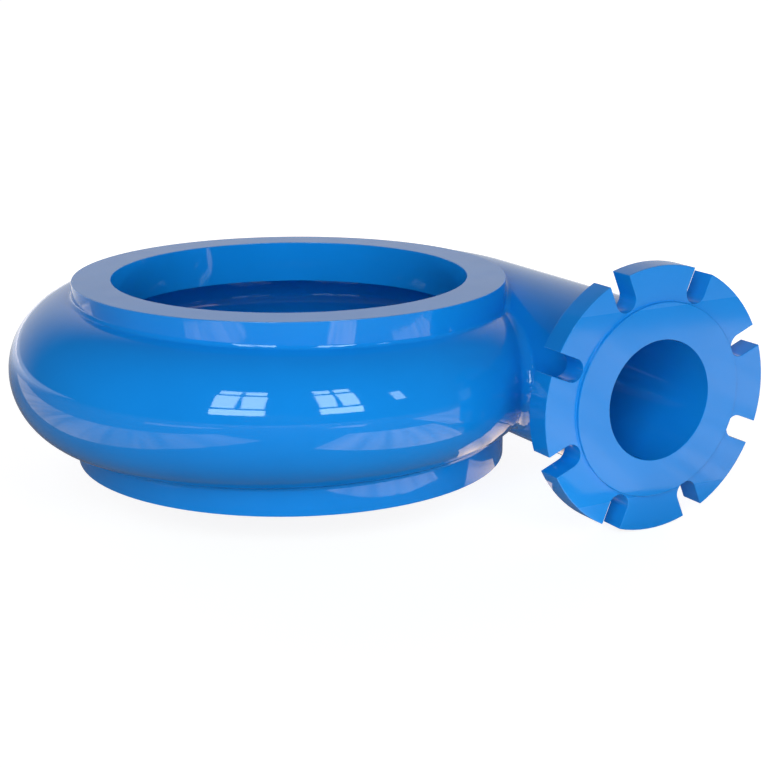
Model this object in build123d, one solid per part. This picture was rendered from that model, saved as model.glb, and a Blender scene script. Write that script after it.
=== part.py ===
from build123d import *
import os
from math import cos, radians, sin

# Cast volute casing of a centrifugal pump. Millimetres.
# Origin: where the pump axis (Z) crosses the plane of the discharge axis.
# The discharge leaves along +X; seen from above the flow turns clockwise.

# Machined end rings that carry the two covers, and how far they stand above and below the pipe
opening_d = 308.0
ring_land = 33.5
upper_collar = 4.5
lower_collar = 7.5

# Volute centre line: four tangent quarter arcs, struck from the corners of a small square.
# It leaves along the discharge axis, which lies this far outside the ring wall.
discharge_overhang = 10.5
spiral_step = 9.75

# Where the round section starts, hidden in the discharge, and the angle between its sections
first_turn = 18.0
section_pitch = 19.0

# Round waterway and its wall, at the volute's start and in the discharge
duct_start_d = 80.0
start_wall = 17.0
bore_d = 100.0
pipe_wall = 22.5

# Parallel-walled throat between the impeller chamber and the volute
chamber_width = 80.0

# Discharge flange, with open slots that take bolts from the bolt circle outwards
flange_reach = 75.5
flange_od = 220.0
flange_thickness = 22.0
raised_face_d = 161.0
raised_face_height = 3.0
bolt_circle = 180.0
bolt_d = 16.0
slot_width = 19.0
slot_count = 8

# Cast blend radii: in the crotch of volute and pipe, round the rings, and behind the flange
crotch_blend = 8.0
ring_blend = 4.0
flange_blend = 6.0

# Least height of plain ring wall above the blend
collar_wall = 0.5

# Sizes and places that follow from those above
ring_od = opening_d + 2 * ring_land
shell_start_d = duct_start_d + 2 * start_wall
pipe_od = bore_d + 2 * pipe_wall
upper_face = pipe_od / 2 + upper_collar
lower_face = pipe_od / 2 + lower_collar
discharge_offset = ring_od / 2 + discharge_overhang
throat_x = spiral_step / 2
flange_face = ring_od / 2 + flange_reach
flange_back = flange_face - flange_thickness
raised_face = flange_face + raised_face_height


def growth(turn):
    """Share of the section's growth reached at a turn, levelling off at the throat."""
    share = turn / 360
    return share**3 * (4 - 3 * share)


def arc_of(turn):
    """Centre and radius of the quarter arc that holds a turn."""
    quarter = min(int(turn // 90), 3)
    half = spiral_step / 2
    corners = [(half, -half), (-half, -half), (-half, half), (half, half)]
    radius = discharge_offset - half - (3 - quarter) * spiral_step
    return corners[quarter], radius


def station(turn):
    """Section plane square to the centre line: local x points inwards, local z along the flow."""
    corner, radius = arc_of(turn)
    outward = Vector(sin(radians(turn)), cos(radians(turn)))
    along = Vector(cos(radians(turn)), -sin(radians(turn)))
    return Plane(origin=Vector(*corner) + outward * radius, x_dir=-outward, z_dir=along)


def spiral(start_d, throat_d):
    """Round-section tube along the volute, from its hidden start to the throat."""
    steps = round((360 - first_turn) / section_pitch)
    sections = []
    for k in range(steps + 1):
        turn = first_turn + (360 - first_turn) * k / steps
        diameter = start_d + (throat_d - start_d) * growth(turn)
        sections.append(station(turn) * Circle(diameter / 2))
    return loft(sections)


def across_discharge(x):
    """Plane square to the discharge axis at a given x: local x is +Y, local y is up."""
    return Plane(origin=(x, discharge_offset, 0), x_dir=(0, 1, 0), z_dir=(1, 0, 0))


def along_discharge(diameter, start, end):
    """Cylinder on the discharge axis from one x to another."""
    return extrude(across_discharge(start) * Circle(diameter / 2), end - start)


def between_faces(diameter):
    """Cylinder on the pump axis from the lower ring face to the upper one."""
    return Pos(0, 0, -lower_face) * extrude(Circle(diameter / 2), upper_face + lower_face)


def ring_joints(solid, side):
    """Edges where the ring wall meets the casting, above (+1) or below (-1) the discharge."""
    near = 0.05
    joints = []
    for edge in solid.edges().filter_by(GeomType.BSPLINE):
        points = [edge.position_at(spot) for spot in (0.1, 0.5, 0.9)]
        off_wall = max(abs(Vector(p.X, p.Y).length - ring_od / 2) for p in points)
        if off_wall < near and points[1].Z * side > 0:
            joints.append(edge)
    return joints


# Outside of the casting: ring body, volute and discharge pipe, blended where they meet
shell = spiral(shell_start_d, pipe_od)
pipe = along_discharge(pipe_od, throat_x, flange_back)
body = between_faces(ring_od) + shell + pipe
past_throat = body.edges().filter_by(GeomType.BSPLINE).filter_by(lambda e: e.center().X > throat_x)
crotch = past_throat.sort_by(lambda e: abs(e.center().Z))[0]
body = fillet(crotch, crotch_blend)
for side in (1, -1):
    body = fillet(ring_joints(body, side), min(ring_blend, upper_collar - collar_wall))

# Discharge flange with its raised face, blended to the pipe
flange = along_discharge(flange_od, flange_back, flange_face)
flange += along_discharge(raised_face_d, flange_face, raised_face)
body += flange
back_face = body.faces().filter_by(Axis.X).sort_by(Axis.X)[0]
pipe_root = back_face.edges().sort_by(SortBy.LENGTH)[0]
body = fillet(pipe_root, flange_blend)

# Slots open to the rim: a round inner end and straight sides, astride the vertical
slot_end = bolt_circle / 2 - bolt_d / 2 + slot_width / 2
slot = Pos(slot_end, 0) * Circle(slot_width / 2)
slot += Pos(slot_end + flange_od / 2, 0) * Rectangle(flange_od, slot_width)
for k in range(slot_count):
    turned = Rot(0, 0, (k + 0.5) * 360 / slot_count) * slot
    body -= extrude(across_discharge(flange_back) * turned, flange_thickness)

# Impeller chamber: the round opening, and the throat that runs out to the volute's centre line
# and, past the volute's end, to the discharge axis
outline = []
turn = first_turn
while turn < 360:
    corner, radius = arc_of(turn)
    quarter_end = turn // 90 * 90 + 90
    outline.append(CenterArc(corner, radius, 90 - turn, turn - quarter_end))
    turn = quarter_end
begin = station(first_turn)
rise = (discharge_offset - begin.origin.Y) / cos(radians(first_turn))
under_bore = begin.origin - begin.x_dir * rise
outline.append(Polyline(outline[-1] @ 1, under_bore, outline[0] @ 0))
throat = extrude(make_face(outline), chamber_width / 2, both=True)

# Waterway: the volute's round duct and the discharge bore
waterway = spiral(duct_start_d, bore_d) + along_discharge(bore_d, throat_x, raised_face)

volute_casing = body - between_faces(opening_d) - throat - waterway
os.makedirs("parts", exist_ok=True)
export_step(volute_casing, "parts/volute_casing.step")
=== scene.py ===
from math import cos, radians, sin

import bpy
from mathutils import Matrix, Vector


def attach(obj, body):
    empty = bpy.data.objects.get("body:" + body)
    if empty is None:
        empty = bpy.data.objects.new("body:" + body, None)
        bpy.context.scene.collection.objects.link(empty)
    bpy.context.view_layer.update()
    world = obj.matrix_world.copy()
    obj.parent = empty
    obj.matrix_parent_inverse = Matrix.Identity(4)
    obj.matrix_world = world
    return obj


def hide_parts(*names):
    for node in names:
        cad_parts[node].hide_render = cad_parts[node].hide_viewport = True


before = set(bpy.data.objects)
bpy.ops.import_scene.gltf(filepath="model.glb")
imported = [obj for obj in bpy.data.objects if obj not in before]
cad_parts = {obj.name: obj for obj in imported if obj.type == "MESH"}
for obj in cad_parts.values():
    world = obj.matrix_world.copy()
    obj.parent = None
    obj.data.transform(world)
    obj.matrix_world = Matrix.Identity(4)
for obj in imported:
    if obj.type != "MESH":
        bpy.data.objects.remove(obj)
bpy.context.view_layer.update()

# Casing. One grey-iron sand casting: two flat rings round an open chamber, a round volute and a
# discharge pipe with a slotted flange. The ring faces, the opening, the flange face and the slots
# are machined, and the whole is sprayed with glossy blue enamel.
bpy.ops.object.select_all(action="DESELECT")
rough_casting = bpy.data.objects["volute_casing"]
rough_casting.select_set(True)
bpy.context.view_layer.objects.active = rough_casting
bpy.ops.object.duplicate()
casing = bpy.context.object
casing.name = "painted_casing"
bpy.ops.object.mode_set(mode="EDIT")
bpy.ops.mesh.select_all(action="SELECT")
bpy.ops.mesh.remove_doubles(threshold=0.00001)
bpy.ops.mesh.customdata_custom_splitnormals_clear()
bpy.ops.mesh.dissolve_limited(angle_limit=radians(0.1))
bpy.ops.mesh.select_mode(type="EDGE")
bpy.ops.mesh.select_all(action="DESELECT")
bpy.ops.mesh.edges_select_sharp(sharpness=radians(40))
bpy.ops.object.mode_set(mode="OBJECT")

# The machined edges are broken with a file before painting; the cast edges inside stay as they are
upper_face_z = 0.077
lower_face_z = -0.080
flange_back_x = 0.241
flange_face_x = 0.263
margin = 0.0005
filed_width = 0.0007
for edge in casing.data.edges:
    ends = [casing.data.vertices[v].co for v in edge.vertices]
    heights = [min(abs(end.z - upper_face_z), abs(end.z - lower_face_z)) for end in ends]
    on_ring_face = max(heights) < 1e-5
    on_flange = all(end.x > flange_back_x - margin for end in ends)
    edge.select = edge.select and (on_ring_face or on_flange)
bpy.ops.object.mode_set(mode="EDIT")
bpy.ops.mesh.bevel(offset=filed_width, segments=2, clamp_overlap=False)
bpy.ops.object.mode_set(mode="OBJECT")
filed = casing.data.attributes.new("filed_edge", "FLOAT", "FACE")
for face in casing.data.polygons:
    filed.data[face.index].value = float(face.select)
bpy.ops.object.shade_smooth_by_angle(angle=radians(38))
flatten = casing.modifiers.new("even_faces", "WEIGHTED_NORMAL")
flatten.keep_sharp = True
bpy.ops.object.modifier_apply(modifier=flatten.name)

# The true round skins of the casting, outside and in the waterway, give its surface an even flow:
# tubes along the four-centre spiral and the discharge, whose normals are carried over to the casting
# and which are then thrown away
discharge_y = 0.198
spiral_step = 0.00975
corners = [(1, -1), (-1, -1), (-1, 1), (1, 1)]
clear_of_ring_blend = 0.1945
close_by = 0.00025
closest = 0.00006
for start_radius, pipe_radius, inside in ((0.057, 0.0725, False), (0.040, 0.050, True)):
    stations = []
    for turn in range(18, 361, 2):
        quarter = min(turn // 90, 3)
        reach = discharge_y - spiral_step / 2 - (3 - quarter) * spiral_step
        share = turn / 360
        grown = share**3 * (4 - 3 * share)
        x = corners[quarter][0] * spiral_step / 2 + reach * sin(radians(turn))
        y = corners[quarter][1] * spiral_step / 2 + reach * cos(radians(turn))
        stations.append((x, y, start_radius + (pipe_radius - start_radius) * grown))
    for x in (0.02, 0.05, 0.1, 0.15, 0.2, 0.26):
        stations.append((x, discharge_y, pipe_radius))
    bpy.ops.curve.primitive_nurbs_path_add()
    skin = bpy.context.object
    skin.data.splines.clear()
    centre_line = skin.data.splines.new("POLY")
    centre_line.points.add(len(stations) - 1)
    for point, (x, y, radius) in zip(centre_line.points, stations):
        point.co = (x, y, 0, 1)
        point.radius = radius
    skin.data.dimensions = "3D"
    skin.data.twist_mode = "Z_UP"
    skin.data.bevel_depth = 1
    skin.data.bevel_resolution = 46
    bpy.ops.object.convert(target="MESH")
    bpy.ops.object.shade_smooth()
    if inside:
        bpy.ops.object.mode_set(mode="EDIT")
        bpy.ops.mesh.select_all(action="SELECT")
        bpy.ops.mesh.flip_normals()
        bpy.ops.object.mode_set(mode="OBJECT")
    on_skin = casing.vertex_groups.new(name="on_skin")
    for vertex in casing.data.vertices:
        at = vertex.co
        nearest = skin.closest_point_on_mesh(at)[1]
        if inside:
            off_edges = abs(at.z) < 0.036 and (at.x < 0 or at.y < 0.05 or 0.15 < at.x < 0.26)
            allowed = close_by if off_edges else 0
        else:
            off_blends = at.xy.length > clear_of_ring_blend and (at.x < 0.1 or at.y < 0.02)
            allowed = close_by if off_blends else closest
        if (nearest - at).length < allowed:
            on_skin.add([vertex.index], 1, "REPLACE")
    carry = casing.modifiers.new("skin_flow", "DATA_TRANSFER")
    carry.object = skin
    carry.use_loop_data = True
    carry.data_types_loops = {"CUSTOM_NORMAL"}
    carry.loop_mapping = "POLYINTERP_NEAREST"
    carry.vertex_group = "on_skin"
    bpy.ops.object.select_all(action="DESELECT")
    casing.select_set(True)
    bpy.context.view_layer.objects.active = casing
    bpy.ops.object.modifier_apply(modifier=carry.name)
    bpy.data.objects.remove(skin)
    casing.vertex_groups.clear()

enamel = bpy.data.materials.new("blue_enamel")
enamel.use_nodes = True
coat = enamel.node_tree
paint = coat.nodes["Principled BSDF"]
paint.inputs["IOR"].default_value = 1.58
place = coat.nodes.new("ShaderNodeTexCoord")
parts = coat.nodes.new("ShaderNodeSeparateXYZ")
coat.links.new(place.outputs["Object"], parts.inputs["Vector"])

# Turned faces: the two ring faces and the flange face, where the lathe has taken the casting skin off
above = coat.nodes.new("ShaderNodeMath")
above.operation = "GREATER_THAN"
above.inputs[1].default_value = upper_face_z - margin
coat.links.new(parts.outputs["Z"], above.inputs[0])
below = coat.nodes.new("ShaderNodeMath")
below.operation = "LESS_THAN"
below.inputs[1].default_value = lower_face_z + margin
coat.links.new(parts.outputs["Z"], below.inputs[0])
outside = coat.nodes.new("ShaderNodeMath")
outside.operation = "GREATER_THAN"
outside.inputs[1].default_value = flange_face_x - margin
coat.links.new(parts.outputs["X"], outside.inputs[0])
either_ring = coat.nodes.new("ShaderNodeMath")
either_ring.operation = "MAXIMUM"
coat.links.new(above.outputs["Value"], either_ring.inputs[0])
coat.links.new(below.outputs["Value"], either_ring.inputs[1])
turned = coat.nodes.new("ShaderNodeMath")
turned.operation = "MAXIMUM"
coat.links.new(either_ring.outputs["Value"], turned.inputs[0])
coat.links.new(outside.outputs["Value"], turned.inputs[1])

# Colour: even spray with a faint cloud where the passes overlap, and a lighter blue on the filed edges,
# partly a thinner film there and partly a painted highlight along the edges
cloud = coat.nodes.new("ShaderNodeTexNoise")
cloud.inputs["Scale"].default_value = 11
cloud.inputs["Detail"].default_value = 4
coat.links.new(place.outputs["Object"], cloud.inputs["Vector"])
shade = coat.nodes.new("ShaderNodeValToRGB")
shade.color_ramp.elements[0].position = 0.3
shade.color_ramp.elements[0].color = (0.0040, 0.214, 0.670, 1)
shade.color_ramp.elements[1].position = 0.7
shade.color_ramp.elements[1].color = (0.0050, 0.234, 0.725, 1)
coat.links.new(cloud.outputs["Fac"], shade.inputs["Fac"])
# Filed edges: a lighter blue, partly thinner paint and partly a painted highlight along the edges
edges = coat.nodes.new("ShaderNodeAttribute")
edges.attribute_name = "filed_edge"
thin_film_and_painted_highlight = coat.nodes.new("ShaderNodeMath")
thin_film_and_painted_highlight.operation = "MULTIPLY"
thin_film_and_painted_highlight.inputs[1].default_value = 0.35
coat.links.new(edges.outputs["Fac"], thin_film_and_painted_highlight.inputs[0])
tone = coat.nodes.new("ShaderNodeMix")
tone.data_type = "RGBA"
tone.inputs["B"].default_value = (0.03, 0.26, 0.72, 1)
coat.links.new(thin_film_and_painted_highlight.outputs["Value"], tone.inputs["Factor"])
coat.links.new(shade.outputs["Color"], tone.inputs["A"])
coat.links.new(tone.outputs["Result"], paint.inputs["Base Color"])

# Gloss: high on the cast skin, a little lower over the fine tool marks of the flange face, and lower
# again on the ring faces
haze = coat.nodes.new("ShaderNodeTexNoise")
haze.inputs["Scale"].default_value = 40
haze.inputs["Detail"].default_value = 3
coat.links.new(place.outputs["Object"], haze.inputs["Vector"])
cast_gloss = coat.nodes.new("ShaderNodeMapRange")
cast_gloss.inputs["From Min"].default_value = 0.3
cast_gloss.inputs["From Max"].default_value = 0.7
cast_gloss.inputs["To Min"].default_value = 0.03
cast_gloss.inputs["To Max"].default_value = 0.06
coat.links.new(haze.outputs["Fac"], cast_gloss.inputs["Value"])
ring_gloss = coat.nodes.new("ShaderNodeMath")
ring_gloss.operation = "MULTIPLY_ADD"
ring_gloss.inputs[1].default_value = 0.2
coat.links.new(either_ring.outputs["Value"], ring_gloss.inputs[0])
coat.links.new(cast_gloss.outputs["Result"], ring_gloss.inputs[2])
gloss = coat.nodes.new("ShaderNodeMath")
gloss.operation = "MULTIPLY_ADD"
gloss.inputs[1].default_value = 0.05
coat.links.new(outside.outputs["Value"], gloss.inputs[0])
coat.links.new(ring_gloss.outputs["Value"], gloss.inputs[2])
coat.links.new(gloss.outputs["Value"], paint.inputs["Roughness"])

# Surface: slow waves of the sand mould that the paint follows, none on the turned faces, and the fine
# orange peel of the spray over everything
wave = coat.nodes.new("ShaderNodeTexNoise")
wave.inputs["Scale"].default_value = 24
wave.inputs["Detail"].default_value = 2
coat.links.new(place.outputs["Object"], wave.inputs["Vector"])
cast_only = coat.nodes.new("ShaderNodeMath")
cast_only.operation = "SUBTRACT"
cast_only.inputs[0].default_value = 1
coat.links.new(turned.outputs["Value"], cast_only.inputs[1])
mould = coat.nodes.new("ShaderNodeBump")
mould.inputs["Distance"].default_value = 0.000025
coat.links.new(cast_only.outputs["Value"], mould.inputs["Strength"])
coat.links.new(wave.outputs["Fac"], mould.inputs["Height"])
peel = coat.nodes.new("ShaderNodeTexNoise")
peel.inputs["Scale"].default_value = 420
peel.inputs["Detail"].default_value = 2
coat.links.new(place.outputs["Object"], peel.inputs["Vector"])
spray = coat.nodes.new("ShaderNodeBump")
spray.inputs["Distance"].default_value = 0.0000025
coat.links.new(peel.outputs["Fac"], spray.inputs["Height"])
coat.links.new(mould.outputs["Normal"], spray.inputs["Normal"])
coat.links.new(spray.outputs["Normal"], paint.inputs["Normal"])

casing.data.materials.clear()
casing.data.materials.append(enamel)
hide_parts("volute_casing")
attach(casing, "root")

# Floor. A plain white sweep under the casing, not part of it. To the camera it is white and keeps the
# casing's shadow. In the enamel it mirrors as a dim floor that turns white at the back.
bpy.ops.object.select_all(action="DESELECT")
bpy.ops.mesh.primitive_plane_add(size=60, location=(0, 0, -0.1101))
floor = bpy.context.object
floor.name = "floor"
white = bpy.data.materials.new("floor_white")
white.use_nodes = True
sweep = white.node_tree
sweep.nodes.remove(sweep.nodes["Principled BSDF"])
matt = sweep.nodes.new("ShaderNodeBsdfDiffuse")
matt.inputs["Color"].default_value = (0.32, 0.28, 0.27, 1)
floor_place = sweep.nodes.new("ShaderNodeTexCoord")
distance = sweep.nodes.new("ShaderNodeVectorMath")
distance.operation = "LENGTH"
sweep.links.new(floor_place.outputs["Object"], distance.inputs[0])
whiteness = sweep.nodes.new("ShaderNodeMapRange")
whiteness.interpolation_type = "SMOOTHSTEP"
whiteness.inputs["From Min"].default_value = 0.35
whiteness.inputs["From Max"].default_value = 1.2
whiteness.inputs["To Min"].default_value = 0.86
whiteness.inputs["To Max"].default_value = 1
sweep.links.new(distance.outputs["Value"], whiteness.inputs["Value"])

# In the enamel only the floor behind the casing, away from the camera, is white
path = sweep.nodes.new("ShaderNodeLightPath")
mirrored = sweep.nodes.new("ShaderNodeMath")
mirrored.operation = "MAXIMUM"
sweep.links.new(path.outputs["Is Glossy Ray"], mirrored.inputs[0])
sweep.links.new(path.outputs["Is Transmission Ray"], mirrored.inputs[1])
behind = sweep.nodes.new("ShaderNodeVectorMath")
behind.operation = "DOT_PRODUCT"
behind.inputs[1].default_value = (-0.895, 0.446, 0)
sweep.links.new(floor_place.outputs["Object"], behind.inputs[0])
back_white = sweep.nodes.new("ShaderNodeMapRange")
back_white.interpolation_type = "SMOOTHSTEP"
back_white.inputs["From Min"].default_value = 0.2
back_white.inputs["From Max"].default_value = 1.0
back_white.inputs["To Min"].default_value = 0.03
back_white.inputs["To Max"].default_value = 0.9
sweep.links.new(behind.outputs["Value"], back_white.inputs["Value"])
dimmed = sweep.nodes.new("ShaderNodeMath")
dimmed.operation = "MULTIPLY_ADD"
sweep.links.new(mirrored.outputs["Value"], dimmed.inputs[0])
sweep.links.new(back_white.outputs["Result"], dimmed.inputs[1])
sweep.links.new(path.outputs["Is Camera Ray"], dimmed.inputs[2])
level = sweep.nodes.new("ShaderNodeMath")
level.operation = "MULTIPLY"
sweep.links.new(dimmed.outputs["Value"], level.inputs[0])
sweep.links.new(whiteness.outputs["Result"], level.inputs[1])
glow = sweep.nodes.new("ShaderNodeEmission")
sweep.links.new(level.outputs["Value"], glow.inputs["Strength"])
both = sweep.nodes.new("ShaderNodeAddShader")
sweep.links.new(matt.outputs["BSDF"], both.inputs[0])
sweep.links.new(glow.outputs["Emission"], both.inputs[1])
sweep.links.new(both.outputs["Shader"], sweep.nodes["Material Output"].inputs["Surface"])
floor.data.materials.append(white)

# Light. A dim room with a pale wall at the back, two tall paned soft boxes in front, one on each side of
# the camera, pale boards on the floor, and wide soft fills that lift the shaded sides.
world = bpy.data.worlds.new("room")
bpy.context.scene.world = world
world.use_nodes = True
room = world.node_tree
direction = room.nodes.new("ShaderNodeTexCoord")
turn_back = room.nodes.new("ShaderNodeMapping")
turn_back.inputs["Rotation"].default_value = (0, radians(10), radians(-153.5))
along_back = room.nodes.new("ShaderNodeTexGradient")
wall = room.nodes.new("ShaderNodeValToRGB")
wall.color_ramp.interpolation = "EASE"
wall.color_ramp.elements[0].position = 0.45
wall.color_ramp.elements[0].color = (0.05, 0.05, 0.055, 1)
wall.color_ramp.elements[1].position = 0.95
wall.color_ramp.elements[1].color = (0.78, 0.77, 0.76, 1)
room.links.new(direction.outputs["Generated"], turn_back.inputs["Vector"])
room.links.new(turn_back.outputs["Vector"], along_back.inputs["Vector"])
room.links.new(along_back.outputs["Fac"], wall.inputs["Fac"])
backdrop = room.nodes.new("ShaderNodeMix")
backdrop.data_type = "RGBA"
backdrop.inputs["B"].default_value = (1, 1, 1, 1)
looks = room.nodes.new("ShaderNodeLightPath")
room.links.new(looks.outputs["Is Camera Ray"], backdrop.inputs["Factor"])
room.links.new(wall.outputs["Color"], backdrop.inputs["A"])
room.links.new(backdrop.outputs["Result"], room.nodes["Background"].inputs["Color"])


def seen_at(azimuth, climb):
    """Direction from the casing to a light, from its angle round the pump axis and above the floor."""
    around = radians(azimuth)
    rise = radians(climb)
    return Vector((sin(around) * cos(rise), -cos(around) * cos(rise), sin(rise)))


# Panes: middle, width, lower and upper edge in degrees as seen from the casing, and strength.
# A small one stands on its own to the right; each large box has a wide low pane and four above it.
pane_distance = 5
pane_power = 22
panes = [(114.5, 5, 21, 32, 0.7)]
for azimuth, width in ((45.7, 22.8), (88.0, 17.8)):
    half = width / 2
    panes.append((azimuth, width, 12, 20, 1.1))
    for side in (-1, 1):
        panes.append((azimuth + side * (half + 1) / 2, half - 1, 22, 39.5, 1))
        panes.append((azimuth + side * (half + 1) / 2, half - 1, 41.5, 46, 1))
for azimuth, width, bottom, top, strength in panes:
    climb = (bottom + top) / 2
    away = seen_at(azimuth, climb)
    bpy.ops.object.light_add(type="AREA", location=away * pane_distance)
    pane = bpy.context.object
    pane.rotation_euler = away.to_track_quat("Z", "Y").to_euler()
    pane.data.shape = "RECTANGLE"
    pane.data.size = pane_distance * radians(width) * cos(radians(climb))
    pane.data.size_y = pane_distance * radians(top - bottom)
    pane.data.energy = pane_power * strength * pane.data.size * pane.data.size_y
    pane.data.color = (0.74, 0.98, 1)
    pane.visible_camera = False

# Pale boards lie on the floor on either side and throw some light up, a warmer one under the pipe:
# facing angle, near and far edge, left and right end, strength and colour
pale = (1, 0.85, 0.74)
warm = (1, 0.74, 0.52)
boards = [
    (8, 0.3, 0.5, -0.9, 0.34, 2.5, pale),
    (8, 0.85, 1.1, 0.1, 0.62, 3.5, pale),
    (105, 0.285, 0.5, -0.19, 0.08, 4.6, pale),
    (105, 0.4, 0.98, 0.1, 0.8, 3.6, pale),
    (105, 0.85, 1.1, -0.42, -0.2, 5, pale),
    (90, 0.1, 0.19, 0.11, 0.23, 5, warm),
]
just_above_floor = Vector((0, 0, -0.109))
for azimuth, near, far, left, right, strength, colour in boards:
    forward = seen_at(azimuth, 0)
    sideways = seen_at(azimuth + 90, 0)
    middle = forward * (near + far) / 2 + sideways * (left + right) / 2
    bpy.ops.object.light_add(type="AREA", location=middle + just_above_floor)
    board = bpy.context.object
    board.rotation_euler = (radians(180), 0, radians(azimuth))
    board.data.shape = "RECTANGLE"
    board.data.size = right - left
    board.data.size_y = far - near
    board.data.energy = strength * board.data.size * board.data.size_y
    board.data.color = colour
    board.visible_camera = False

    # The boards' grain runs away from the casing
    board.data.use_nodes = True
    wood = board.data.node_tree
    surface = wood.nodes.new("ShaderNodeNewGeometry")
    lengthways = wood.nodes.new("ShaderNodeMapping")
    lengthways.inputs["Location"].default_value = (azimuth + near, left, 0)
    lengthways.inputs["Scale"].default_value = (board.data.size * 28, board.data.size_y * 2, 1)
    wood.links.new(surface.outputs["Parametric"], lengthways.inputs["Vector"])
    grain = wood.nodes.new("ShaderNodeTexNoise")
    grain.inputs["Scale"].default_value = 1
    grain.inputs["Detail"].default_value = 3
    wood.links.new(lengthways.outputs["Vector"], grain.inputs["Vector"])
    tint = wood.nodes.new("ShaderNodeMapRange")
    tint.inputs["From Min"].default_value = 0.35
    tint.inputs["From Max"].default_value = 0.6
    tint.inputs["To Min"].default_value = 0.45
    tint.inputs["To Max"].default_value = 1.15
    wood.links.new(grain.outputs["Fac"], tint.inputs["Value"])
    wood.links.new(tint.outputs["Result"], wood.nodes["Emission"].inputs["Strength"])

# Wide soft fills at the front and at both sides of the back, too soft to show in the enamel
fill_distance = 2.5
for azimuth, energy in ((63.5, 20), (200, 36), (275, 36)):
    toward = seen_at(azimuth, 7)
    bpy.ops.object.light_add(type="AREA", location=toward * fill_distance)
    fill = bpy.context.object
    fill.rotation_euler = toward.to_track_quat("Z", "Y").to_euler()
    fill.data.shape = "RECTANGLE"
    fill.data.size = 1.6
    fill.data.size_y = 0.5
    fill.data.energy = energy
    fill.visible_camera = False
    fill.visible_glossy = False

# Camera. A long lens a little above the casing, as far away as the photograph was taken from, on the
# flange's side.
bpy.ops.object.camera_add(
    location=(1.27775, -0.63606, 0.36124),
    rotation=(radians(74.9439), radians(-0.0126), radians(60.2457)),
)
camera = bpy.context.object
camera.data.sensor_width = 36
camera.data.lens = 78.166
bpy.context.scene.camera = camera

bpy.context.scene.view_settings.view_transform = "Standard"
